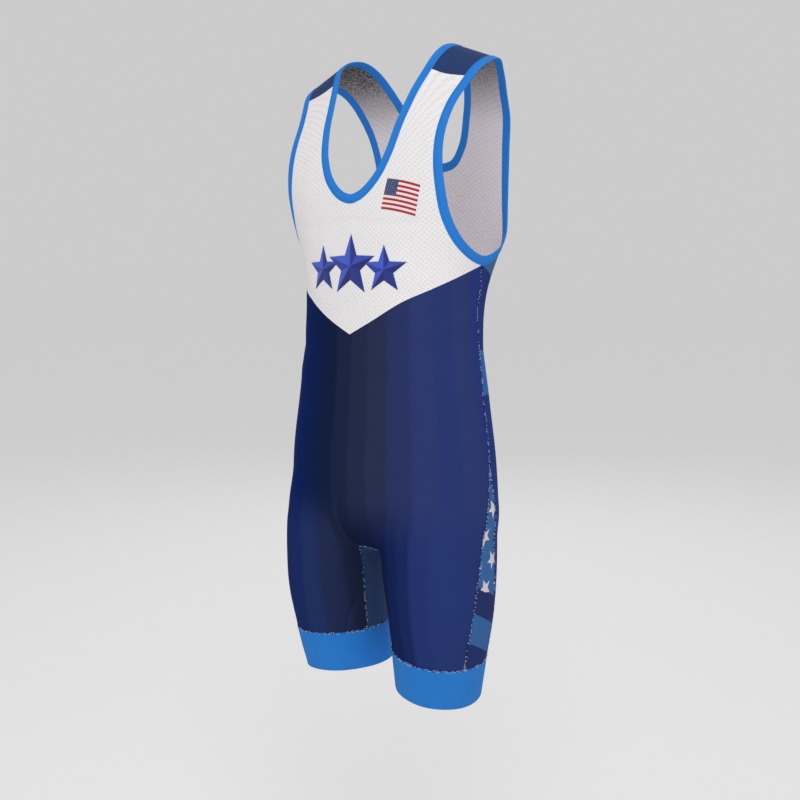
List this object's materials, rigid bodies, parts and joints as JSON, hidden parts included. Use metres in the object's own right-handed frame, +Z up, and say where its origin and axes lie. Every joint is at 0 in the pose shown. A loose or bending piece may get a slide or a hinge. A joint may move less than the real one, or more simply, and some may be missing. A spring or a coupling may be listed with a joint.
{
  "type": "wrestling singlet",
  "caption": "One-piece stretch-knit wrestling singlet, filled out as worn: scooped neck and deep armholes edged with binding, pointed chest panel, and thigh-length legs with hem bands.",
  "frame": {"origin": "middle of the shoulder line, level with the tops of the straps, where the wearer's shoulders hold the garment", "axes": "+Z up, along the garment's length; the front faces -Y, and Y runs through its depth; +X is the wearer's left"},
  "size_m": [0.3386, 0.2191, 0.8869],
  "materials": {
    "chest_mesh": "white birdseye mesh knit, matte",
    "back_mesh": "steel-blue birdseye mesh knit, light grey inside, matte",
    "navy_knit": "navy stretch knit with a fine diagonal rib and a soft sheen",
    "gusset_knit": "smooth navy stretch knit",
    "yoke_knit": "dark navy stretch knit, light grey inside",
    "side_knit": "steel-blue stretch knit printed with pale stars",
    "band_knit": "bright blue stretch knit, soft sheen",
    "binding_knit": "bright blue folded binding, soft sheen"
  },
  "bodies": {
    "root": {"front_chest": "chest_mesh", "back_upper": "back_mesh", "front_body": "navy_knit", "back_lower": "navy_knit", "inseam_gusset": "gusset_knit", "shoulder_patch_left": "yoke_knit", "shoulder_patch_right": "yoke_knit", "side_panel_left": "side_knit", "side_panel_right": "side_knit", "leg_band_left": "band_knit", "leg_band_right": "band_knit", "neck_binding": "binding_knit", "armhole_binding_left": "binding_knit", "armhole_binding_right": "binding_knit"}
  },
  "joints": []
}
